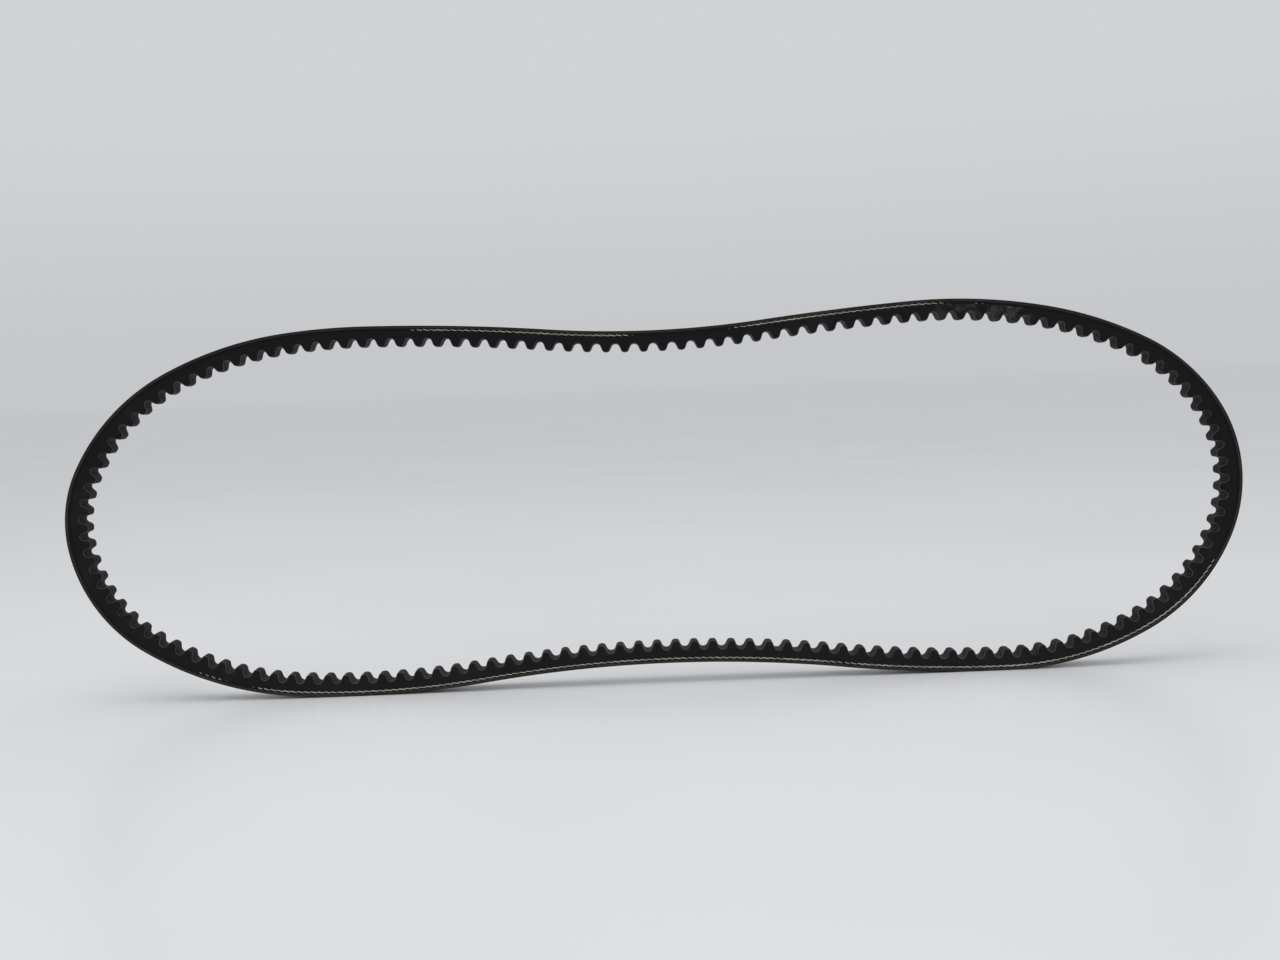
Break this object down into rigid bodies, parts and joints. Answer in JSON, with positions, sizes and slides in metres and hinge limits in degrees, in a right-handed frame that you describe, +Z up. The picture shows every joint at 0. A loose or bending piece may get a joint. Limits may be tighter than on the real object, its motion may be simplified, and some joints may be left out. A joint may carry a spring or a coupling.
{
  "type": "v belt",
  "caption": "Raw-edge V belt with moulded cogs, open as a relaxed bean-shaped loop, with a flat fabric back and the cord showing on one flank.",
  "frame": {"origin": "centre of the bounding box of the whole loop", "axes": "+Z up, with the loop standing on its two low humps; pulley axes along Y; +X along the loop's length; the flank with the exposed cord faces -Y"},
  "size_m": [0.5118, 0.013, 0.1628],
  "materials": {
    "backing_fabric": "rubberised weave, dull",
    "inner_ply_fabric": "rubberised weave, cut edge",
    "overcord": "cut rubber, matt",
    "cushion": "cut rubber, matt",
    "cord": "twisted polyester, matt",
    "undercord": "fibre-loaded cut rubber, matt",
    "facing_fabric": "moulded, satin"
  },
  "bodies": {
    "root": {"backing_outer_ply": "backing_fabric", "backing_inner_ply": "inner_ply_fabric", "overcord_gum": "overcord", "upper_cushion_gum": "cushion", "lower_cushion_gum": "cushion", "tensile_cord": "cord", "undercord_rubber": "undercord", "cog_facing": "facing_fabric"}
  },
  "joints": []
}
